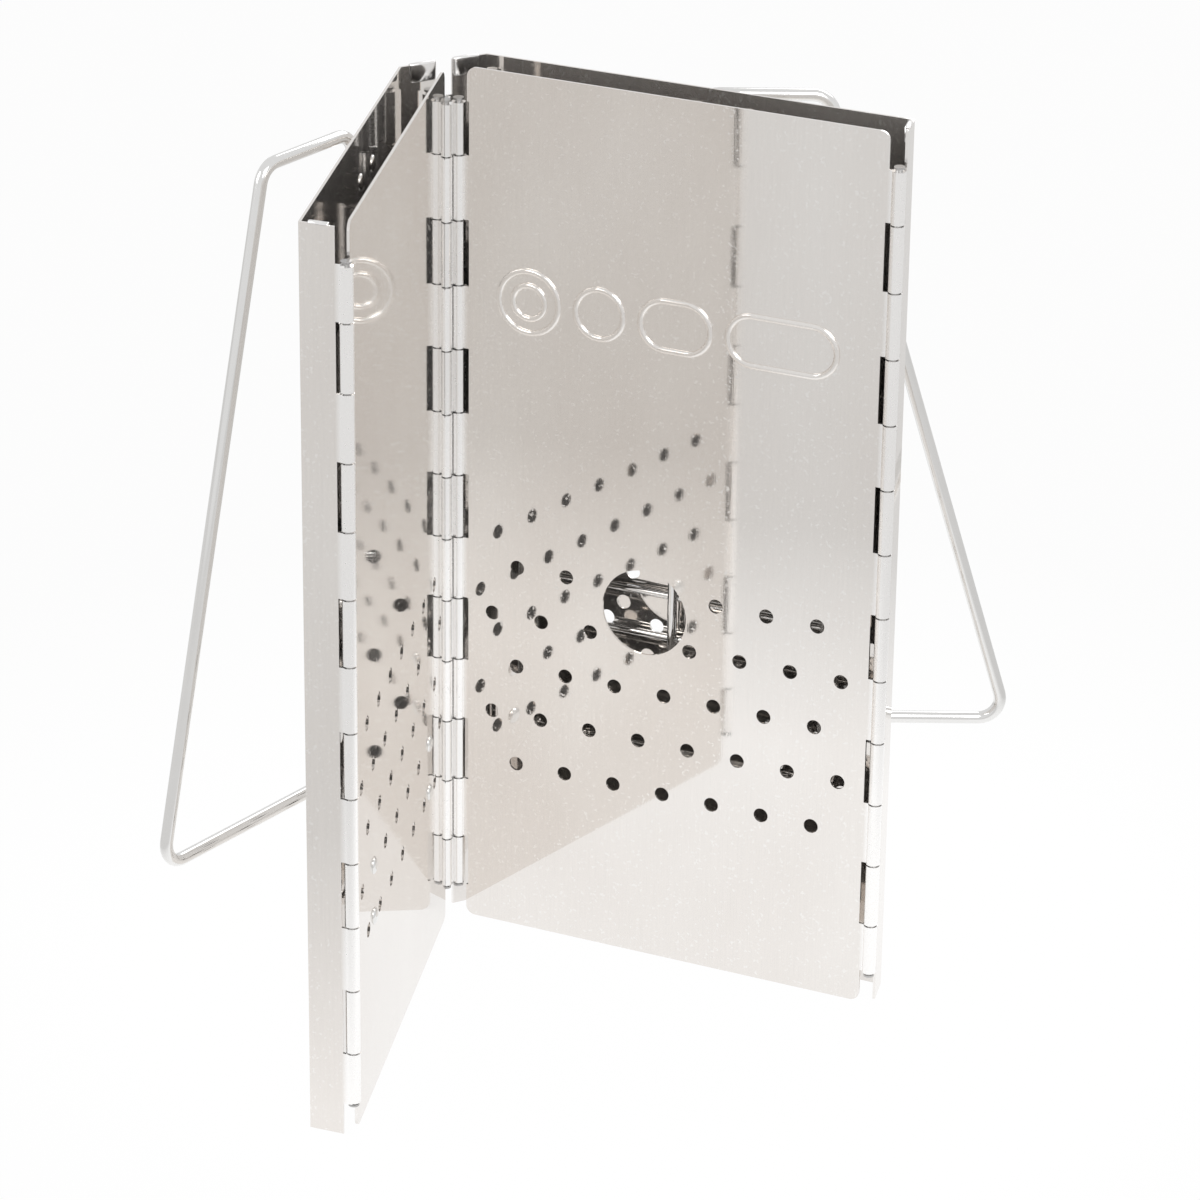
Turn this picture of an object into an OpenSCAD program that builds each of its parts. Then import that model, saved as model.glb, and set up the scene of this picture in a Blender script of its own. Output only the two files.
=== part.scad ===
// Collapsible square chimney charcoal starter: two channel-shaped back shells and two front panels
// joined by five hinge columns, with folding wire handles and a folding wire grate.
// Origin: middle of the right front panel's bottom edge. +X runs along that panel, -Y is its front.

/* [Panels] */
// Height of every panel
body_h = 280; // [270:1:300]
// Distance between the two hinge axes of one front panel
panel_w = 139.2; // [136:0.2:150]
// Sheet thickness
sheet_t = 0.8; // [0.6:0.1:1]
// Depth of the back shell behind the front panel
shell_d = 12.9; // [12:0.1:16]
// Angle between the two front panels
book_angle = 75; // [60:1:90]

/* [Hinges] */
// Outside radius of the rolled knuckles
knuckle_r = 2.1; // [2:0.05:2.15]
// Radius of the hinge pins
pin_r = 1.1; // [1:0.05:1.3]
// Running clearance around the pins
pin_gap = 0.06; // [0.03:0.01:0.1]
// Distance between the two axes of a corner link
link_s = 4.4; // [4.4:0.1:4.8]

/* [Vents] */
// Radius of the vent holes
vent_r = 2.3; // [1.8:0.1:2.8]
// Spacing of the vent holes along a row
vent_pitch = 16.45; // [16:0.05:17]
// Spacing of the vent rows
vent_rise = 16.6; // [16:0.1:17]
// Radius of the lighting hole
light_r = 13.8; // [12:0.1:15]

/* [Handles] */
// Radius of the handle wire
wire_r = 1.9; // [1.5:0.1:2]
// Reach of the upper arm of both handles
arm_top = 38.5; // [30:0.5:50]
// Reach of the right handle's lower arm
arm_low_right = 99; // [80:1:110]
// Reach of the left handle's lower arm
arm_low_left = 87; // [70:1:100]

/* [Grate] */
// Radius of the grate frame wire
grate_r = 1.5; // [1.2:0.1:1.6]
// Length of the grate from its axle
grate_l = 112; // [90:1:114]

/* [Hidden] */
$fn = 48;
eps = 0.01;
half = book_angle / 2;
rows = 13;
row_pitch = 20.5;
row_end = 16.5;
row_z0 = (body_h - 2 * row_end - (rows - 2) * row_pitch) / 2 - 0.3;
row_top = row_z0 + 2 * row_end + (rows - 2) * row_pitch;
row_gap = 0.25;
bore_r = pin_r + pin_gap;
pin_over = 0.5;
pin_head = pin_r + 0.5;
pin_head_h = 0.6;
slot_r = knuckle_r + 0.8;
notch_r = knuckle_r + 1.5;
spine_x = -5.78;
spine_y = 1.665;
spine_corner_x = 3;
outer_corner_x = panel_w - 1.2;
flange_x = panel_w + 1.4;
flange_cut = 2.8;
spine_cut = 2.7;
tongue_in = 1;
link_web_in = 1.5;
through = 60;
hole_cut = 10;
vent_rows = 5;
rivet_clear = 3;
corner_r = 3;
steel = [0.80, 0.79, 0.77];
bright = [0.88, 0.88, 0.87];
vent_x0 = 20.1;
vent_x1 = 11.8;
vent_z0 = 122.5;
light_x = 62.5;
light_z = 115.8;
bead_z = 199;
bead_h = 0.5;
bead_rim = 1.5;
beads = [[13, bead_z, 21, 21], [17.5, bead_z + 4.5, 12, 12], [38, bead_z + 2, 17, 17],
  [59, bead_z + 2, 24, 17], [87, bead_z + 2, 36, 17]];
handle_x_right = 69.4;
handle_x_left = 53;
handle_off = 3.2;
handle_top = 276.5;
handle_low = 76;
handle_leg = 17;
right_swing = 24.5;
left_swing = 28.3;
clip_z_top = handle_top - 12;
clip_z_low = handle_low + 12;
clip_h = 6;
clip_plate = 11.6;
rivet_x = 8.2;
rivet_r = 1.5;
rivet_hole = 1.55;
rivet_head = 2.7;
rivet_head_h = 0.9;
web_out = shell_d + sheet_t / 2;
web_in = shell_d - sheet_t / 2;
grate_z = 62;
grate_y = 8.4;
grate_x0 = 18;
grate_x1 = 118;
cross_r = 1.2;
cross_y = 10.1;
cross_pitch = 14;
grate_clip_x = [34, 102];
grate_clip_w = 7;
grate_clip_rivet_z = 6.5;
rest_x = [28.3, 110.6];
rest_z = [73, 56.5];
rest_depth = 9;
rest_w = 10;
rest_plate_z = 51;
rest_plate_h = 27;
rest_ledge_z = 64;
grate_clip_h = 20;
clip_slack = 0.2;
cross_count = 7;
cross_over = 2;
rib_start = 2.75;

// Bottom and top of knuckle row k, counted from the top
function row_lo(k) = k == rows - 1 ? row_z0 : row_top - row_end - k * row_pitch;
function row_hi(k) = k == 0 ? row_top : row_top - row_end - (k - 1) * row_pitch;

// Moves the working origin, the right link pin, to the middle of the right panel
module placed() {
  translate([-panel_w / 2, 0, 0]) children();
}

// Mirrors its children to the left half of the book
module left_half() {
  n = [-sin(half), -cos(half), 0];
  m = n * link_s / 2;
  translate(m) mirror(n) translate(-m) children();
}

// Solid knuckle cylinders of every second row, starting at row first
module knuckles(first) {
  for (k = [first : 2 : rows - 1])
    translate([0, 0, row_lo(k) + row_gap])
      cylinder(r = knuckle_r, h = row_hi(k) - row_lo(k) - 2 * row_gap);
}

// Square-cornered sheet outline with rounded corners, drawn in plan
module rounded_plate(w, h, r) {
  translate([r, 0]) square([w - 2 * r, h]);
  translate([0, r]) square([w, h - 2 * r]);
  for (x = [r, w - r], z = [r, h - r]) translate([x, z]) circle(r = r);
}

// Staggered rows of vent holes; skip is the radius of the lighting hole kept clear
module vents(skip, rivet_holes) {
  for (j = [0 : vent_rows - 1]) {
    even = j % 2 == 0;
    x0 = even ? vent_x0 : vent_x1;
    count = even ? 7 : 8;
    for (i = [0 : count - 1]) {
      x = x0 + i * vent_pitch;
      z = vent_z0 - j * vent_rise;
      near_light = norm([x - light_x, z - light_z]) < skip;
      at_rest = min(abs(x - rest_x[0]), abs(x - rest_x[1]));
      on_rivet = rivet_holes && j == 3 && at_rest < rivet_clear;
      if (!near_light && !on_rivet)
        translate([x, 0, z]) rotate([90, 0, 0]) cylinder(r = vent_r, h = through, center = true);
    }
  }
}

// Raised stadium-shaped stiffening bead on the front face
module bead(x, z, w, h, rim) {
  translate([x, -sheet_t / 2 + eps, z]) rotate([90, 0, 0]) linear_extrude(bead_h) difference() {
    rounded_plate(w, h, h / 2 - eps);
    translate([rim, rim]) rounded_plate(w - 2 * rim, h - 2 * rim, h / 2 - rim - eps);
  }
}

// Front panel with knuckles on both long edges
module front_panel(outer_first, lit) {
  edge = slot_r;
  difference() {
    union() {
      translate([edge, sheet_t / 2, 0]) rotate([90, 0, 0])
        linear_extrude(sheet_t) rounded_plate(panel_w - 2 * edge, body_h, corner_r);
      for (k = [1 : 2 : rows - 1])
        translate([0, -sheet_t / 2, row_lo(k) + row_gap])
          cube([edge + tongue_in, sheet_t, row_hi(k) - row_lo(k) - 2 * row_gap]);
      for (k = [outer_first : 2 : rows - 1])
        translate([panel_w - edge - tongue_in, -sheet_t / 2, row_lo(k) + row_gap])
          cube([edge + tongue_in, sheet_t, row_hi(k) - row_lo(k) - 2 * row_gap]);
      knuckles(1);
      translate([panel_w, 0, 0]) knuckles(outer_first);
      if (lit)
        for (b = beads) bead(b[0], b[1], b[2], b[3], bead_rim);
    }
    translate([0, 0, -1]) cylinder(r = bore_r, h = body_h + 2);
    translate([panel_w, 0, -1]) cylinder(r = bore_r, h = body_h + 2);
    panel_edge_slots(0);
    translate([panel_w, 0, 0]) panel_edge_slots(1 - outer_first);
    vents(lit ? light_r + vent_r : 0, !lit);
    if (lit)
      translate([light_x, 0, light_z]) rotate([90, 0, 0])
        cylinder(r = light_r, h = hole_cut, center = true);
    if (!lit)
      for (x = rest_x, z = rest_z)
        translate([x, 0, z]) rotate([90, 0, 0]) cylinder(r = rivet_hole, h = hole_cut, center = true);
  }
}

// Notches in a panel edge beside the mating knuckles
module panel_edge_slots(first) {
  for (k = [first : 2 : rows - 1])
    translate([-notch_r, -knuckle_r, row_lo(k) - row_gap])
      cube([2 * notch_r, 2 * knuckle_r, row_hi(k) - row_lo(k) + 2 * row_gap]);
}

// One straight strip of sheet between two plan points
module strip(a, b) {
  d = b - a;
  translate(a) rotate(atan2(d[1], d[0])) translate([0, -sheet_t / 2]) square([norm(d), sheet_t]);
  translate(a) circle(d = sheet_t);
}

// Square cutter around the outer hinge axis, from height z up
module flange_notch(z, h) {
  translate([panel_w - flange_cut, -flange_cut, z]) cube([2 * flange_cut, 2 * flange_cut, h]);
}

// Back shell: web, slanted spine flange and outer flange with knuckles
module back_shell(spine_first, outer_first, clip_x) {
  outer_corner = [outer_corner_x, shell_d];
  spine_corner = [spine_corner_x, shell_d];
  difference() {
    union() {
      linear_extrude(body_h) {
        strip([spine_x, spine_y], spine_corner);
        strip(spine_corner, outer_corner);
        strip(outer_corner, [flange_x, 0]);
      }
      translate([spine_x, spine_y, 0]) knuckles(spine_first);
      translate([panel_w, 0, 0]) knuckles(outer_first);
    }
    translate([spine_x, spine_y, -1]) cylinder(r = bore_r, h = body_h + 2);
    translate([panel_w, 0, -1]) cylinder(r = bore_r, h = body_h + 2);
    for (k = [1 - spine_first : 2 : rows - 1])
      translate([spine_x, spine_y, row_lo(k) - row_gap])
        cylinder(r = spine_cut, h = row_hi(k) - row_lo(k) + 2 * row_gap);
    for (k = [1 - outer_first : 2 : rows - 1])
      flange_notch(row_lo(k) - row_gap, row_hi(k) - row_lo(k) + 2 * row_gap);
    for (z = [-1, row_top + row_gap]) {
      translate([spine_x, spine_y, z]) cylinder(r = spine_cut, h = row_z0 + 1 - row_gap);
      flange_notch(z, row_z0 + 1 - row_gap);
    }
    vents(0, false);
    for (z = [clip_z_top, clip_z_low], x = [-rivet_x, rivet_x])
      translate([clip_x + x, shell_d, z]) rotate([90, 0, 0])
        cylinder(r = rivet_hole, h = hole_cut, center = true);
    if (spine_first == 0)
      for (x = grate_clip_x, z = [-grate_clip_rivet_z, grate_clip_rivet_z])
        translate([x, shell_d, grate_z + z]) rotate([90, 0, 0])
          cylinder(r = rivet_hole, h = hole_cut, center = true);
  }
}

// Row of double knuckles joining the two front panels
module corner_links() {
  turn = [0, 0, 180 + 90 - half];
  color(bright) for (k = [0 : 2 : rows - 1])
    rotate(turn) translate([0, 0, row_lo(k) + row_gap]) {
      h = row_hi(k) - row_lo(k) - 2 * row_gap;
      difference() {
        union() {
          cylinder(r = knuckle_r, h = h);
          translate([link_s, 0, 0]) cylinder(r = knuckle_r, h = h);
          translate([link_web_in, -sheet_t / 2, 0]) cube([link_s - 2 * link_web_in, sheet_t, h]);
        }
        translate([0, 0, -1]) cylinder(r = bore_r, h = h + 2);
        translate([link_s, 0, -1]) cylinder(r = bore_r, h = h + 2);
      }
    }
}

// Full-length hinge pin with peened ends
module hinge_pin() {
  color(bright) {
    translate([0, 0, row_z0 - pin_over]) cylinder(r = pin_r, h = row_top - row_z0 + 2 * pin_over);
    for (z = [row_z0 - pin_over - pin_head_h, row_top + pin_over])
      translate([0, 0, z]) cylinder(r = pin_head, h = pin_head_h);
  }
}

// Pin lengths inside the right shell's spine knuckles
module rear_spine_pin() {
  color(bright) translate([spine_x, spine_y, 0]) for (k = [0 : 2 : rows - 1])
    translate([0, 0, row_lo(k) + row_gap]) cylinder(r = pin_r, h = row_hi(k) - row_lo(k) - 2 * row_gap);
}

// Straight round wire between two points
module rod(a, b, r) {
  d = b - a;
  translate(a) rotate([0, acos(d[2] / norm(d)), atan2(d[1], d[0])]) cylinder(r = r, h = norm(d));
}

// Ball used at a wire bend
module joint_ball(p, r) {
  translate(p) sphere(r = r);
}

// Bent wire handle, pivoting in its two clips
module handle(swing, x, arm_low) {
  top = [arm_top, 0, handle_top];
  low = [arm_low, 0, handle_low];
  color(bright) translate([x, web_out + handle_off, 0]) rotate(swing) {
    points = [[0, 0, handle_top - handle_leg], [0, 0, handle_top], top, low, [0, 0, handle_low],
      [0, 0, handle_low + handle_leg]];
    for (i = [0 : len(points) - 2]) rod(points[i], points[i + 1], wire_r);
    for (i = [1 : len(points) - 2]) joint_ball(points[i], wire_r);
  }
}

// Two riveted saddle clips that hold a handle's legs
module handle_clips(at) {
  color(steel) for (z = [clip_z_top, clip_z_low]) translate([at, web_out, z - clip_h / 2])
    difference() {
      union() {
        translate([-clip_plate, 0, 0]) cube([2 * clip_plate, sheet_t, clip_h]);
        translate([0, handle_off, 0]) cylinder(r = handle_off - clip_slack, h = clip_h);
      }
      translate([0, handle_off, -1]) cylinder(r = wire_r + pin_gap, h = clip_h + 2);
      for (x = [-rivet_x, rivet_x]) translate([x, 0, clip_h / 2]) rotate([90, 0, 0])
        cylinder(r = rivet_hole, h = hole_cut, center = true);
    }
}

// Rivet along +Y from y0, gripping a given thickness, with a head at each end
module rivet(y0, grip) {
  translate([0, y0, 0]) rotate([-90, 0, 0]) {
    cylinder(r = rivet_r, h = grip);
    translate([0, 0, -rivet_head_h]) cylinder(r = rivet_head, h = rivet_head_h);
    translate([0, 0, grip]) cylinder(r = rivet_head, h = rivet_head_h);
  }
}

module clip_rivets(at) {
  color(bright) for (z = [clip_z_top, clip_z_low], x = [-rivet_x, rivet_x])
    translate([at + x, 0, z]) rivet(web_in, 2 * sheet_t);
}

// Axle and bent outer wire of the grate, folded up against the right shell
module grate_frame() {
  a = [grate_x0, grate_y, grate_z];
  b = [grate_x1, grate_y, grate_z];
  c = [grate_x1, grate_y, grate_z + grate_l];
  d = [grate_x0, grate_y, grate_z + grate_l];
  color(bright) {
    rod(a, b, grate_r);
    rod(b, c, grate_r);
    rod(c, d, grate_r);
    rod(d, a, grate_r);
    for (p = [a, b, c, d]) joint_ball(p, grate_r);
  }
}

module grate_cross_wires() {
  color(bright) for (i = [1 : cross_count]) {
    z = grate_z + i * cross_pitch;
    rod([grate_x0 - cross_over, cross_y, z], [grate_x1 + cross_over, cross_y, z], cross_r);
  }
}

module grate_centre_rib() {
  x = (grate_x0 + grate_x1) / 2;
  foot = grate_z + rib_start * cross_pitch;
  color(bright) {
    rod([x, grate_y, foot], [x, grate_y, grate_z + grate_l - grate_r], grate_r);
    joint_ball([x, grate_y, foot], grate_r);
  }
}

// Clips on the right shell that hold the grate's axle
module grate_hinge_clips() {
  out_r = grate_r + 0.8;
  color(steel) for (x = grate_clip_x) translate([x - grate_clip_w / 2, 0, grate_z])
    difference() {
      union() {
        translate([0, web_in - sheet_t, -grate_clip_h / 2]) cube([grate_clip_w, sheet_t, grate_clip_h]);
        translate([0, grate_y, -sheet_t]) cube([grate_clip_w, web_in - grate_y - eps, 2 * sheet_t]);
        translate([0, grate_y, 0]) rotate([0, 90, 0]) cylinder(r = out_r, h = grate_clip_w);
      }
      translate([-1, grate_y, 0]) rotate([0, 90, 0]) cylinder(r = grate_r + pin_gap, h = grate_clip_w + 2);
      for (z = [-grate_clip_rivet_z, grate_clip_rivet_z]) translate([grate_clip_w / 2, web_in, z])
        rotate([90, 0, 0]) cylinder(r = rivet_hole, h = hole_cut, center = true);
    }
}

module grate_clip_rivets() {
  color(bright) for (x = grate_clip_x, z = [-grate_clip_rivet_z, grate_clip_rivet_z])
    translate([x, 0, grate_z + z]) rivet(web_in - sheet_t, 2 * sheet_t);
}

// Ledges on the left panel's back that carry the grate's free edge
module grate_rest_brackets() {
  color(steel) left_half() for (x = rest_x) translate([x, sheet_t / 2, 0]) difference() {
    union() {
      translate([-rest_w / 2, 0, rest_plate_z]) cube([rest_w, sheet_t, rest_plate_h]);
      translate([-rest_w / 2, 0, rest_ledge_z]) cube([rest_w, rest_depth, sheet_t]);
    }
    for (z = rest_z) translate([0, 0, z]) rotate([90, 0, 0])
      cylinder(r = rivet_hole, h = hole_cut, center = true);
  }
}

module grate_rest_rivets() {
  color(bright) left_half() for (x = rest_x, z = rest_z)
    translate([x, 0, z]) rivet(-sheet_t / 2, 2 * sheet_t);
}

module right_front_panel() color(steel) front_panel(0, true);
module left_front_panel() color(steel) left_half() front_panel(1, false);
module right_back_shell() color(steel) back_shell(0, 1, handle_x_right);
module left_back_shell() color(steel) left_half() back_shell(1, 0, handle_x_left);
module right_link_pin() hinge_pin();
module left_link_pin() left_half() hinge_pin();
module right_outer_pin() translate([panel_w, 0, 0]) hinge_pin();
module left_outer_pin() left_half() translate([panel_w, 0, 0]) hinge_pin();
module right_handle() handle(right_swing, handle_x_right, arm_low_right);
module left_handle() left_half() handle(left_swing, handle_x_left, arm_low_left);
module right_handle_clips() handle_clips(handle_x_right);
module left_handle_clips() left_half() handle_clips(handle_x_left);
module right_clip_rivets() clip_rivets(handle_x_right);
module left_clip_rivets() left_half() clip_rivets(handle_x_left);

placed() right_front_panel();
placed() left_front_panel();
placed() corner_links();
placed() right_back_shell();
placed() left_back_shell();
placed() right_link_pin();
placed() left_link_pin();
placed() right_outer_pin();
placed() left_outer_pin();
placed() rear_spine_pin();
placed() right_handle();
placed() left_handle();
placed() right_handle_clips();
placed() left_handle_clips();
placed() right_clip_rivets();
placed() left_clip_rivets();
placed() grate_frame();
placed() grate_cross_wires();
placed() grate_centre_rib();
placed() grate_hinge_clips();
placed() grate_clip_rivets();
placed() grate_rest_brackets();
placed() grate_rest_rivets();
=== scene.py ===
import math

import bpy
import bmesh
from mathutils import Matrix, Vector


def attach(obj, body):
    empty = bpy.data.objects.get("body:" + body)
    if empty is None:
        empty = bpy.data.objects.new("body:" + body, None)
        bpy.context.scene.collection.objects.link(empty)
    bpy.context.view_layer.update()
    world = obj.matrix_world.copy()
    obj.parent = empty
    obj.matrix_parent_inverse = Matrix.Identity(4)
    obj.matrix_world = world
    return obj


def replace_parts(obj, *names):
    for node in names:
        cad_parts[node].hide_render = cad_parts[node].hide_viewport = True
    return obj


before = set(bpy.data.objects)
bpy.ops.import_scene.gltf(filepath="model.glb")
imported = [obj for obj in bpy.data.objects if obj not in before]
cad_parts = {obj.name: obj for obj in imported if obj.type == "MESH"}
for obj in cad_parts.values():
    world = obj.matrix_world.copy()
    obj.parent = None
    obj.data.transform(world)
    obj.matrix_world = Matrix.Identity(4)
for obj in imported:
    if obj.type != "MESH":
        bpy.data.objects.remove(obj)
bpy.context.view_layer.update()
MM = 0.001
ORIGIN = Vector((69.6, 0, 0))  # the CAD origin, seen from the right link pin, in mm

# ---------------------------------------------------------------- dimensions shared with the CAD part, in mm
HALF = math.radians(37.5)
LINK = 4.4
PANEL_W = 139.2
BODY_H = 280.0
SHELL_D = 12.9
SHEET = 0.8
ROW_TOP = 269.0
ROW_END = 16.5
ROW_PITCH = 20.5
ROWS = 13
NORMAL = Vector((-math.sin(HALF), -math.cos(HALF), 0))
MIDDLE = NORMAL * LINK / 2
SPINE = Vector((-5.78, 1.665, 0))
SPINE_CORNER = Vector((3.0, SHELL_D, 0))
OUTER_CORNER = Vector((138.0, SHELL_D, 0))
FLANGE_EDGE = Vector((140.6, 0, 0))


def left(p):
    """A point of the right half, mirrored into the left half, in mm."""
    p = Vector(p)
    return p - NORMAL * (2 * (p - MIDDLE).dot(NORMAL))


def same(p):
    """A point of the right half, left as it is."""
    return Vector(p)


# ---------------------------------------------------------------- materials
def node(tree, kind, **values):
    """A new shader node, with input values or node settings given by name."""
    n = tree.nodes.new(kind)
    for key, value in values.items():
        if key in n.inputs:
            n.inputs[key].default_value = value
        else:
            setattr(n, key, value)
    return n


def ramp(tree, source, stops):
    """A two-stop colour ramp driven by source."""
    n = tree.nodes.new("ShaderNodeValToRGB")
    for element, (place, colour) in zip(n.color_ramp.elements, stops):
        element.position = place
        element.color = (*colour, 1)
    tree.links.new(source, n.inputs["Fac"])
    return n.outputs["Color"]


ROLLED_TO, FLAT_FROM = 0.0022, 0.0034  # distances from a hinge axis, in metres
# painted highlight: the pale tint painted on the rolled knuckles, standing in for the light they catch
KNUCKLE_PAINTED_HIGHLIGHT = (1.0, 0.99, 0.98, 1)
ROLLED_BLUR = 0.16
SPECK_TINT = (1.0, 1.0, 0.99, 1)
CLOUD_SCALE = (14, 14, 9)
SPECK_SCALE = (900, 900, 900)


def near_hinges(tree, coords):
    """Mask of the painted knuckle highlight: 1 on the rolled knuckles, 0 on the flat sheet: nearness to any of the
    five hinge axes, in plan.
    """
    flat = node(tree, "ShaderNodeVectorMath", operation="MULTIPLY")
    tree.links.new(coords, flat.inputs[0])
    flat.inputs[1].default_value = (1, 1, 0)
    nearest = None
    for axis in ((0, 0, 0), (PANEL_W, 0, 0), left((0, 0, 0)), left((PANEL_W, 0, 0)), SPINE):
        gap = node(tree, "ShaderNodeVectorMath", operation="DISTANCE")
        tree.links.new(flat.outputs[0], gap.inputs[0])
        gap.inputs[1].default_value = (Vector(axis) - ORIGIN) * MM
        if nearest is None:
            nearest = gap.outputs["Value"]
            continue
        low = node(tree, "ShaderNodeMath", operation="MINIMUM")
        tree.links.new(nearest, low.inputs[0])
        tree.links.new(gap.outputs["Value"], low.inputs[1])
        nearest = low.outputs[0]
    mask = node(tree, "ShaderNodeMapRange")
    mask.inputs["From Min"].default_value = FLAT_FROM
    mask.inputs["From Max"].default_value = ROLLED_TO
    tree.links.new(nearest, mask.inputs["Value"])
    return mask.outputs["Result"]


def brushed(name, tone, dark, rough, stretch, grain, speck, metal=1.0, rolled=False):
    """Stainless steel with drawn grain along stretch, a cloudy sheen and fine specks; optionally a painted
    highlight, a paler tint on the sheet round the hinge axes, which is also made rougher there.
    """
    m = bpy.data.materials.new(name)
    m.use_nodes = True
    t = m.node_tree
    b = t.nodes["Principled BSDF"]
    b.inputs["Metallic"].default_value = metal
    coords = node(t, "ShaderNodeTexCoord").outputs["Object"]

    def noise(scale, detail):
        mp = node(t, "ShaderNodeMapping")
        mp.inputs["Scale"].default_value = scale
        t.links.new(coords, mp.inputs["Vector"])
        n = node(t, "ShaderNodeTexNoise", Scale=1.0, Detail=detail, Roughness=0.5)
        t.links.new(mp.outputs["Vector"], n.inputs["Vector"])
        return n.outputs["Fac"]

    lines = noise(stretch, 3.0)
    cloud = noise(CLOUD_SCALE, 3.0)
    dust = noise(SPECK_SCALE, 1.0)
    tint = ramp(t, cloud, ((0.3, dark), (0.72, tone)))
    streak = ramp(t, lines, ((0.3, (0.90, 0.90, 0.90)), (0.7, (1.0, 1.0, 1.0))))
    mul = node(t, "ShaderNodeMix", data_type="RGBA", blend_type="MULTIPLY")
    mul.inputs[0].default_value = grain
    t.links.new(tint, mul.inputs[6])
    t.links.new(streak, mul.inputs[7])
    specks = ramp(t, dust, ((0.64, (0, 0, 0)), (0.70, (1, 1, 1))))
    light = node(t, "ShaderNodeMix", data_type="RGBA", blend_type="MIX")
    fac = node(t, "ShaderNodeMath", operation="MULTIPLY")
    t.links.new(specks, fac.inputs[0])
    fac.inputs[1].default_value = speck
    t.links.new(fac.outputs[0], light.inputs[0])
    t.links.new(mul.outputs[2], light.inputs[6])
    light.inputs[7].default_value = SPECK_TINT
    colour = light.outputs[2]
    # painted highlight: the sheet round the hinge axes is mixed to the paler knuckle tint; the same mask also
    # raises the roughness below
    if rolled:
        highlight_and_matt_mask = near_hinges(t, coords)
        painted_highlight_mix = node(t, "ShaderNodeMix", data_type="RGBA", blend_type="MIX")
        t.links.new(highlight_and_matt_mask, painted_highlight_mix.inputs[0])
        t.links.new(colour, painted_highlight_mix.inputs[6])
        painted_highlight_mix.inputs[7].default_value = KNUCKLE_PAINTED_HIGHLIGHT
        colour = painted_highlight_mix.outputs[2]
    t.links.new(colour, b.inputs["Base Color"])
    spread = node(t, "ShaderNodeMapRange")
    spread.inputs["To Min"].default_value = rough * 0.75
    spread.inputs["To Max"].default_value = rough * 1.3
    t.links.new(cloud, spread.inputs["Value"])
    wear = node(t, "ShaderNodeMath", operation="MULTIPLY_ADD")
    t.links.new(specks, wear.inputs[0])
    wear.inputs[1].default_value = speck * 0.4
    t.links.new(spread.outputs["Result"], wear.inputs[2])
    blur = wear.outputs[0]
    if rolled:
        matt = node(t, "ShaderNodeMath", operation="MULTIPLY_ADD")
        t.links.new(highlight_and_matt_mask, matt.inputs[0])
        matt.inputs[1].default_value = ROLLED_BLUR
        t.links.new(blur, matt.inputs[2])
        blur = matt.outputs[0]
    t.links.new(blur, b.inputs["Roughness"])
    bump = node(t, "ShaderNodeBump", Strength=0.10 * grain, Distance=0.00006)
    t.links.new(lines, bump.inputs["Height"])
    t.links.new(bump.outputs["Normal"], b.inputs["Normal"])
    return m


SHEET_MAT = brushed(
    "brushed_sheet", (0.91, 0.884, 0.856), (0.85, 0.812, 0.778), 0.035, (2600, 2600, 60), 0.30, 0.35, 0.92, True)
# painted highlight: the knuckle steel is a paler copy of the sheet steel, standing in for the light on the rolled
# knuckles, seams and folded tabs
KNUCKLE_HIGHLIGHT_MAT = brushed(
    "rolled_knuckle_painted_highlight", (1.0, 0.99, 0.98), (0.95, 0.94, 0.93), 0.19, (1500, 1500, 60), 0.4, 0.2)
WIRE_MAT = brushed(
    "drawn_wire", (0.90, 0.895, 0.885), (0.82, 0.815, 0.805), 0.10, (160, 160, 160), 0.2, 0.08)
PIN_MAT = brushed(
    "pin_steel", (0.62, 0.61, 0.60), (0.45, 0.445, 0.44), 0.28, (900, 900, 80), 0.6, 0.2)

MATS = {"sheet": SHEET_MAT, "knuckle": KNUCKLE_HIGHLIGHT_MAT, "wire": WIRE_MAT, "pin": PIN_MAT}
PLAN = {
    "sheet": ("right_front_panel", "left_front_panel", "right_back_shell", "left_back_shell",
              "right_handle_clips", "left_handle_clips", "grate_hinge_clips", "grate_rest_brackets"),
    "knuckle": ("corner_links",),
    "wire": ("grate_cross_wires", "grate_centre_rib"),
    "pin": ("right_link_pin", "left_link_pin", "right_outer_pin", "left_outer_pin", "rear_spine_pin"),
}
EDGE_BEVEL = 0.00013
for kind, names in PLAN.items():
    for name in names:
        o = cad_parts[name]
        for s in o.material_slots:
            s.material = MATS[kind]
        if kind in ("sheet", "knuckle"):
            bev = o.modifiers.new("edge", "BEVEL")
            bev.width = EDGE_BEVEL
            bev.segments = 2
            bev.limit_method = "ANGLE"
            bev.angle_limit = math.radians(50)


# ---------------------------------------------------------------- geometry helpers
def finish_mesh(name, verts, faces, mat, body):
    """Makes a smooth-shaded mesh object with outward normals and lets it ride on a body."""
    me = bpy.data.meshes.new(name)
    me.from_pydata([tuple(v) for v in verts], [], faces)
    me.materials.append(mat)
    bm = bmesh.new()
    bm.from_mesh(me)
    bmesh.ops.recalc_face_normals(bm, faces=bm.faces)
    bm.to_mesh(me)
    bm.free()
    me.validate()
    for p in me.polygons:
        p.use_smooth = True
    o = bpy.data.objects.new(name, me)
    bpy.context.scene.collection.objects.link(o)
    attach(o, body)
    return o


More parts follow.
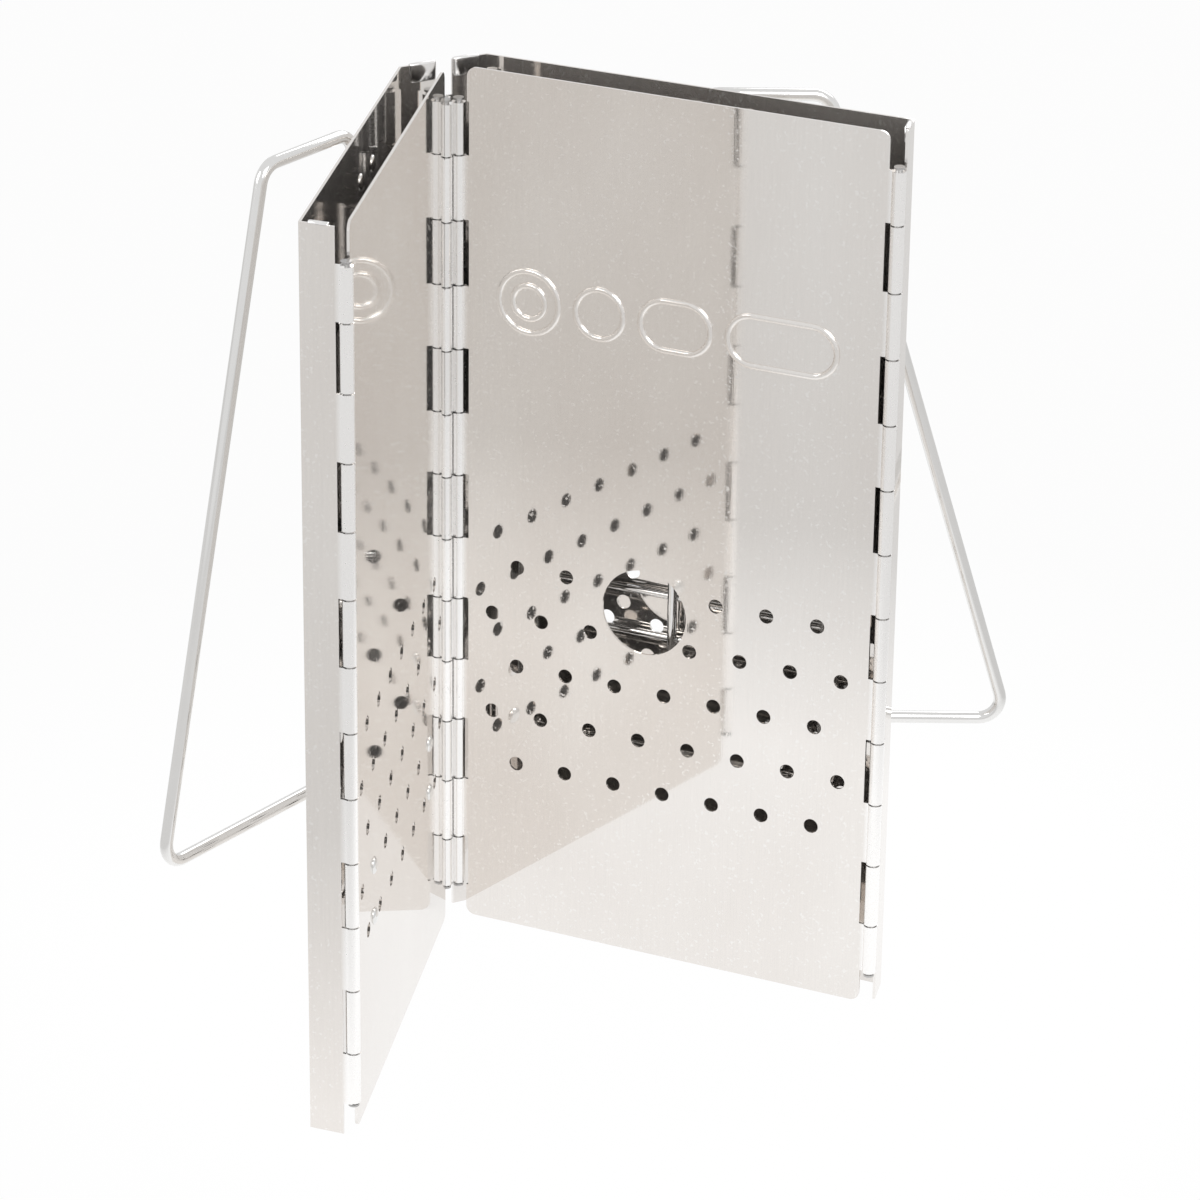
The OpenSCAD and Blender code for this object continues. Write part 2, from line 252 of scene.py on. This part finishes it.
def round_path(points, bend, steps=8):
    """The path with every inner corner turned into an arc of radius bend."""
    out = [points[0]]
    for a, p, c in zip(points, points[1:], points[2:]):
        u, v = (a - p).normalized(), (c - p).normalized()
        half = u.angle(v) / 2
        cut = min(bend / math.tan(half), 0.45 * (a - p).length, 0.45 * (c - p).length)
        r = cut * math.tan(half)
        centre = p + (u + v).normalized() * (r / math.sin(half))
        s, e = p + u * cut - centre, p + v * cut - centre
        turn = s.angle(e)
        axis = s.cross(e).normalized()
        for i in range(steps + 1):
            out.append(centre + Matrix.Rotation(turn * i / steps, 3, axis) @ s)
    out.append(points[-1])
    return out


CAP = [(0.30, 0.98), (0.62, 0.80), (0.86, 0.5)]  # share of the dome's height and of the wire's radius
DOME = 0.45  # height of the dome at each wire end, as a share of the radius


def tube(points, r, verts, faces, sides=20):
    """Adds a round wire along points, in mm, to verts and faces in metres."""
    last = (points[1] - points[0]).normalized()
    side = last.orthogonal().normalized()
    rings = []
    n = len(points)
    stations = []
    for i, p in enumerate(points):
        t = (points[min(i + 1, n - 1)] - points[max(i - 1, 0)]).normalized()
        q = last.rotation_difference(t)
        side = (q @ side).normalized()
        last = t
        stations.append((p, t, side.copy()))
    line = []
    p, t, s = stations[0]
    for h, w in reversed(CAP):
        line.append((p - t * (r * DOME * h), t, s, r * w))
    for p, t, s in stations:
        line.append((p, t, s, r))
    p, t, s = stations[-1]
    for h, w in CAP:
        line.append((p + t * (r * DOME * h), t, s, r * w))
    for p, t, s, w in line:
        b = t.cross(s)
        base = len(verts)
        for k in range(sides):
            a = 2 * math.pi * k / sides
            verts.append((p + (s * math.cos(a) + b * math.sin(a)) * w - ORIGIN) * MM)
        rings.append(base)
    for a, b in zip(rings, rings[1:]):
        for k in range(sides):
            j = (k + 1) % sides
            faces.append((a + k, a + j, b + j, b + k))
    faces.append(tuple(rings[0] + k for k in reversed(range(sides))))
    faces.append(tuple(rings[-1] + k for k in range(sides)))


def turned(profile, centre, axis, verts, faces, sides=28):
    """Adds a solid of revolution: profile is (radius, height) pairs from one pole to the other, in mm."""
    axis = Vector(axis).normalized()
    s = axis.orthogonal().normalized()
    b = axis.cross(s)
    centre = Vector(centre)
    rings = []
    for r, h in profile:
        base = len(verts)
        if r < 1e-6:
            verts.append((centre + axis * h - ORIGIN) * MM)
            rings.append((base, 1))
            continue
        for k in range(sides):
            a = 2 * math.pi * k / sides
            verts.append((centre + axis * h + (s * math.cos(a) + b * math.sin(a)) * r - ORIGIN) * MM)
        rings.append((base, sides))
    for (a, na), (c, nc) in zip(rings, rings[1:]):
        for k in range(sides):
            j = (k + 1) % sides
            if na == 1:
                faces.append((a, c + k, c + j))
            elif nc == 1:
                faces.append((a + k, c, a + j))
            else:
                faces.append((a + k, c + k, c + j, a + j))


# ---------------------------------------------------------------- wire handles with bent corners
RIGHT_X, LEFT_X = 69.4, 53.0
HANDLE_OFF = 3.2
HANDLE_Y = SHELL_D + SHEET / 2 + HANDLE_OFF
HANDLE_TOP, HANDLE_FOOT, HANDLE_LEG = 276.5, 76.0, 17.0
ARM_TOP = 38.5
HANDLE_BEND = 6.5
HANDLE_R = 1.9


def handle(name, side, swing, x, reach):
    """One bent wire handle, swung out by swing degrees; reach is the length of its lower arm in mm."""
    d = Vector((math.cos(math.radians(swing)), math.sin(math.radians(swing)), 0))
    o = Vector((x, HANDLE_Y, 0))
    corners = ((0, HANDLE_TOP - HANDLE_LEG), (0, HANDLE_TOP), (ARM_TOP, HANDLE_TOP),
               (reach, HANDLE_FOOT), (0, HANDLE_FOOT), (0, HANDLE_FOOT + HANDLE_LEG))
    path = round_path([side(o + d * out + Vector((0, 0, z))) for out, z in corners], HANDLE_BEND)
    verts, faces = [], []
    tube(path, HANDLE_R, verts, faces)
    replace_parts(finish_mesh(name + "_wire", verts, faces, WIRE_MAT, name), name)


handle("right_handle", same, 24.5, RIGHT_X, 99.0)
handle("left_handle", left, 28.3, LEFT_X, 87.0)

# ---------------------------------------------------------------- grate outer wire with bent corners
GX0, GX1, GY, GZ, GL = 18.0, 118.0, 8.4, 62.0, 112.0
GRATE_R = 1.5
GRATE_BEND = 4.0
GRATE_JOIN = 0.6
verts, faces = [], []
mid = (GX0 + GX1) / 2
loop = [Vector(p) for p in (
    (mid + GRATE_JOIN, GY, GZ), (GX1, GY, GZ), (GX1, GY, GZ + GL),
    (GX0, GY, GZ + GL), (GX0, GY, GZ), (mid - GRATE_JOIN, GY, GZ))]
tube(round_path(loop, GRATE_BEND), GRATE_R, verts, faces)
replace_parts(finish_mesh("grate_frame_wire", verts, faces, WIRE_MAT, "grate"), "grate_frame")


# ---------------------------------------------------------------- domed rivets
def rivets(name, node_name, body, side, spots, y0, grip):
    """Rivets along Y from y0, with a domed head on each side of the gripped thickness."""
    verts, faces = [], []
    head = [(0.0, -1.02), (0.8, -1.0), (1.5, -0.88), (2.1, -0.62), (2.55, -0.22), (2.62, 0.0), (1.5, 0.0)]
    tail = [(1.5, 0.0), (2.62, 0.0), (2.55, 0.22), (2.1, 0.6), (1.5, 0.86), (0.8, 0.98), (0.0, 1.0)]
    dome = head + [(r, grip + h) for r, h in tail]
    for x, z in spots:
        a, b = side((x, y0, z)), side((x, y0 + grip, z))
        ax = (b - a).normalized()
        turned(dome, a, ax, verts, faces)
    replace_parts(finish_mesh(name, verts, faces, WIRE_MAT, body), node_name)


RIVET_X = 8.2
CLIP_IN = 12


def clip_spots(at):
    """The four rivets of one handle's two clips."""
    return [(at + x, z) for x in (-RIVET_X, RIVET_X) for z in (HANDLE_TOP - CLIP_IN, HANDLE_FOOT + CLIP_IN)]


WEB_IN = SHELL_D - SHEET / 2
GRATE_CLIP_X, GRATE_CLIP_Z = (34, 102), 6.5
REST_X, REST_Z = (28.3, 110.6), (73, 56.5)
rivets("right_clip_rivets_domed", "right_clip_rivets", "right_back", same, clip_spots(RIGHT_X), WEB_IN, 2 * SHEET)
rivets("left_clip_rivets_domed", "left_clip_rivets", "left_back", left, clip_spots(LEFT_X), WEB_IN, 2 * SHEET)
rivets("grate_clip_rivets_domed", "grate_clip_rivets", "right_back", same,
       [(x, GZ + z) for x in GRATE_CLIP_X for z in (-GRATE_CLIP_Z, GRATE_CLIP_Z)], WEB_IN - SHEET, 2 * SHEET)
rivets("grate_rest_rivets_domed", "grate_rest_rivets", "left_panel", left,
       [(x, z) for x in REST_X for z in REST_Z], -SHEET / 2, 2 * SHEET)

# ---------------------------------------------------------------- pressed outline beads, rounded over the CAD beads
BEADS = [(13, 199, 21, 21), (17.5, 203.5, 12, 12), (38, 201, 17, 17), (59, 201, 24, 17), (87, 201, 36, 17)]
BEAD_INSET = 0.75
BEAD_HALF_W = 1.0
BEAD_RISE = 0.85
BEAD_SIDES = 12


def outline(x, z, w, h, steps=14):
    """Centreline of one stadium-shaped bead, as plan points on the panel face."""
    r = h / 2 - BEAD_INSET
    out = []
    for cx, start in ((x + w - h / 2, -90), (x + h / 2, 90)):
        for i in range(steps + 1):
            a = math.radians(start + 180 * i / steps)
            out.append((cx + r * math.cos(a), z + h / 2 + r * math.sin(a)))
    if w - h < 0.01:
        out = [p for i, p in enumerate(out) if i not in (steps, 2 * steps + 1)]
    return out


def beads(name, body, side):
    """One closed rounded ridge along every bead outline."""
    verts, faces = [], []
    sides = BEAD_SIDES
    for x, z, w, h in BEADS:
        line = outline(x, z, w, h)
        n = len(line)
        first = len(verts)
        for i, (px, pz) in enumerate(line):
            (ax, az), (bx, bz) = line[i - 1], line[(i + 1) % n]
            t = Vector((bx - ax, 0, bz - az)).normalized()
            across = Vector((t.z, 0, -t.x))
            for k in range(sides):
                a = 2 * math.pi * k / sides
                p = Vector((px, BEAD_RISE * math.sin(a) - SHEET / 2, pz)) + across * (BEAD_HALF_W * math.cos(a))
                verts.append((side(p) - ORIGIN) * MM)
        for i in range(n):
            for k in range(sides):
                a, b = first + i * sides, first + ((i + 1) % n) * sides
                j = (k + 1) % sides
                faces.append((a + k, a + j, b + j, b + k))
    return finish_mesh(name, verts, faces, SHEET_MAT, body)


beads("right_panel_beads", "right_panel", same)

# ---------------------------------------------------------------- folded safety tabs on the shells' free edges
TAB_SHEET = 0.55
TAB_ROLL = 0.62
TAB_STEPS = 8
TAB_GAP = 0.25
TAB_FOOT = 0.1
TAB_LIFT = 0.12
TAB_CHAMFER = 0.3
TAB_END = 0.35  # length over which each end of the tab tapers
TAB_TAPER = 0.86


def folded_tab(name, body, side, a, b, start, length, inward, drop, mat):
    """A tab of sheet, folded over the top edge of the flange a-b and lying on its inner face."""
    along = (b - a).normalized()
    n = Vector((-along.y, along.x, 0)) * inward
    t = TAB_SHEET
    g = SHEET / 2
    section = [(-g, -TAB_FOOT), (-g, TAB_LIFT)]
    outer = g + t + TAB_GAP
    mid = (outer - g) / 2
    for i in range(TAB_STEPS + 1):
        w = math.pi * i / TAB_STEPS
        section.append((mid - (g + mid) * math.cos(w), TAB_LIFT + TAB_ROLL * math.sin(w)))
    section += [(outer, -drop + TAB_CHAMFER), (outer - TAB_GAP, -drop), (outer - t, -drop), (outer - t, -TAB_FOOT)]
    verts, faces = [], []
    cuts = [(0.0, TAB_TAPER), (TAB_END, 1.0), (length - TAB_END, 1.0), (length, TAB_TAPER)]
    count = len(section)
    cx = sum(p[0] for p in section) / count
    for s, k in cuts:
        for h, z in section:
            p = a + along * (start + s) + n * (cx + (h - cx) * k) + Vector((0, 0, BODY_H + z * k))
            verts.append((side(p) - ORIGIN) * MM)
    for c in range(len(cuts) - 1):
        for k in range(count):
            j = (k + 1) % count
            faces.append((c * count + k, c * count + j, (c + 1) * count + j, (c + 1) * count + k))
    faces.append(tuple(range(count)))
    faces.append(tuple((len(cuts) - 1) * count + k for k in range(count)))
    return finish_mesh(name, verts, faces, mat, body)


# the folded tabs carry the paler knuckle steel, a painted highlight
for name, body, side in (("right", "right_back", same), ("left", "left_back", left)):
    folded_tab(name + "_spine_tab", body, side, SPINE, SPINE_CORNER, 3.1, 8.2, -1, 5.2, KNUCKLE_HIGHLIGHT_MAT)
    folded_tab(name + "_outer_tab", body, side, OUTER_CORNER, FLANGE_EDGE, 2.4, 6.0, -1, 4.6, KNUCKLE_HIGHLIGHT_MAT)


# ---------------------------------------------------------------- rolled knuckles: closing seam and curled lip
def row_bounds():
    """Bottom and top of every knuckle row, from the top row down, in mm."""
    edges = [ROW_TOP, ROW_TOP - ROW_END]
    while len(edges) < ROWS:
        edges.append(edges[-1] - ROW_PITCH)
    edges.append(edges[-1] - ROW_END)
    return [(lo, hi) for hi, lo in zip(edges, edges[1:])]


ROW_GAP = 0.3
LIP = ((2.02, -7), (2.2, -5), (2.26, 0), (2.2, 5), (2.02, 7))  # radius in mm and angle of the lip's section


def seams(name, body, side, centre, turn, first):
    """The thin raised lip where each rolled knuckle closes on its own sheet."""
    verts, faces = [], []
    count = len(LIP)
    for k, (lo, hi) in enumerate(row_bounds()):
        if k % 2 != first:
            continue
        lo, hi = lo + ROW_GAP, hi - ROW_GAP
        base = len(verts)
        ring = []
        for r, w in LIP:
            a = math.radians(turn + w)
            ring.append(Vector((centre[0] + r * math.cos(a), centre[1] + r * math.sin(a), 0)))
        for z in (lo, hi):
            verts.extend((side(p + Vector((0, 0, z))) - ORIGIN) * MM for p in ring)
        for i in range(count):
            j = (i + 1) % count
            faces.append((base + i, base + j, base + count + j, base + count + i))
        faces.append(tuple(base + i for i in range(count)))
        faces.append(tuple(base + count + i for i in range(count)))
    return finish_mesh(name, verts, faces, KNUCKLE_HIGHLIGHT_MAT, body)


seams("right_panel_link_seams", "right_panel", same, (0, 0), 28, 1)
seams("right_panel_outer_seams", "right_panel", same, (PANEL_W, 0), 152, 0)
seams("left_panel_link_seams", "left_panel", left, (0, 0), 28, 1)
seams("left_panel_outer_seams", "left_panel", left, (PANEL_W, 0), 152, 1)
seams("right_shell_outer_seams", "right_back", same, (PANEL_W, 0), 118, 1)
seams("left_shell_outer_seams", "left_back", left, (PANEL_W, 0), 118, 0)
seams("right_shell_spine_seams", "right_back", same, (SPINE.x, SPINE.y), 80, 0)
seams("left_shell_spine_seams", "left_back", left, (SPINE.x, SPINE.y), 80, 1)

# ---------------------------------------------------------------- studio
# The floor glows by itself. The camera sees it nearly white; reflections see a pool of light that fades outwards.
POOL_TO, POOL_OUT = 0.16, 0.34  # distances from the CAD origin, in metres, where the fading starts and ends
POOL_DIM = (0.66, 0.655, 0.65)
POOL_GLOW = 1.02
FLOOR_MATT = 0.12  # share of the floor that is lit by the lamps
FLOOR_WHITE = 0.92  # share of plain white in what the camera sees of the floor
floor_me = bpy.data.meshes.new("studio_floor")
floor_me.from_pydata([(-6, -6, 0), (6, -6, 0), (6, 6, 0), (-6, 6, 0)], [], [(0, 1, 2, 3)])
floor = bpy.data.objects.new("studio_floor", floor_me)
bpy.context.scene.collection.objects.link(floor)
fm = bpy.data.materials.new("studio_floor")
fm.use_nodes = True
ft = fm.node_tree
ft.nodes["Principled BSDF"].inputs["Base Color"].default_value = (0.92, 0.92, 0.915, 1)
ft.nodes["Principled BSDF"].inputs["Roughness"].default_value = 0.9
where = node(ft, "ShaderNodeTexCoord").outputs["Object"]
away = node(ft, "ShaderNodeVectorMath", operation="DISTANCE")
ft.links.new(where, away.inputs[0])
pool = ramp(ft, away.outputs["Value"], ((POOL_TO, (1.0, 1.0, 1.0)), (POOL_OUT, POOL_DIM)))
bounce = node(ft, "ShaderNodeEmission", Strength=POOL_GLOW)
ft.links.new(pool, bounce.inputs["Color"])
soft = node(ft, "ShaderNodeMixShader")
soft.inputs[0].default_value = FLOOR_MATT
ft.links.new(bounce.outputs[0], soft.inputs[1])
ft.links.new(ft.nodes["Principled BSDF"].outputs[0], soft.inputs[2])
white = node(ft, "ShaderNodeEmission", Strength=1.0)
ray = node(ft, "ShaderNodeLightPath")
seen = node(ft, "ShaderNodeMath", operation="MULTIPLY")
seen.inputs[1].default_value = FLOOR_WHITE
ft.links.new(ray.outputs["Is Camera Ray"], seen.inputs[0])
cover = node(ft, "ShaderNodeMixShader")
ft.links.new(seen.outputs[0], cover.inputs[0])
ft.links.new(soft.outputs[0], cover.inputs[1])
ft.links.new(white.outputs[0], cover.inputs[2])
ft.links.new(cover.outputs[0], ft.nodes["Material Output"].inputs["Surface"])
floor_me.materials.append(fm)

world = bpy.data.worlds.new("studio")
bpy.context.scene.world = world
world.use_nodes = True
world.node_tree.nodes["Background"].inputs["Color"].default_value = (1, 1, 1, 1)
world.node_tree.nodes["Background"].inputs["Strength"].default_value = 0.8


def softbox(name, place, target, size, power):
    """A rectangular lamp at place, facing target."""
    lamp = bpy.data.lights.new(name, "AREA")
    lamp.shape = "RECTANGLE"
    lamp.size, lamp.size_y = size
    lamp.energy = power
    o = bpy.data.objects.new(name, lamp)
    o.location = place
    o.rotation_euler = (Vector(target) - Vector(place)).to_track_quat("-Z", "Y").to_euler()
    bpy.context.scene.collection.objects.link(o)


AIM = (0.06, -0.06, 0.14)
softbox("key", (0.9, -0.9, 1.3), AIM, (0.9, 0.9), 7)
softbox("fill", (-1.1, -0.9, 0.9), AIM, (0.8, 0.8), 4)
softbox("back", (0.1, 1.3, 1.1), AIM, (1.2, 0.7), 6)

# ---------------------------------------------------------------- camera
AZ, EL, ROLL = math.radians(24.14), math.radians(24.217), math.radians(0.7455)
EYE = Vector((614.8, -1265.4, 740.7))  # camera position seen from the right link pin, in mm
fwd = Vector((-math.sin(AZ) * math.cos(EL), math.cos(AZ) * math.cos(EL), -math.sin(EL)))
right0 = Vector((math.cos(AZ), math.sin(AZ), 0))
up0 = right0.cross(fwd)
right = right0 * math.cos(ROLL) + up0 * math.sin(ROLL)
up = up0 * math.cos(ROLL) - right0 * math.sin(ROLL)
cam = bpy.data.cameras.new("camera")
cam.lens = 150.37
cam.sensor_width = 36
cam.clip_start, cam.clip_end = 0.05, 30
co = bpy.data.objects.new("camera", cam)
m = Matrix((right, up, -fwd)).transposed().to_4x4()
m.translation = (EYE - ORIGIN) * MM
co.matrix_world = m
bpy.context.scene.collection.objects.link(co)
bpy.context.scene.camera = co
bpy.context.scene.view_settings.view_transform = "Standard"
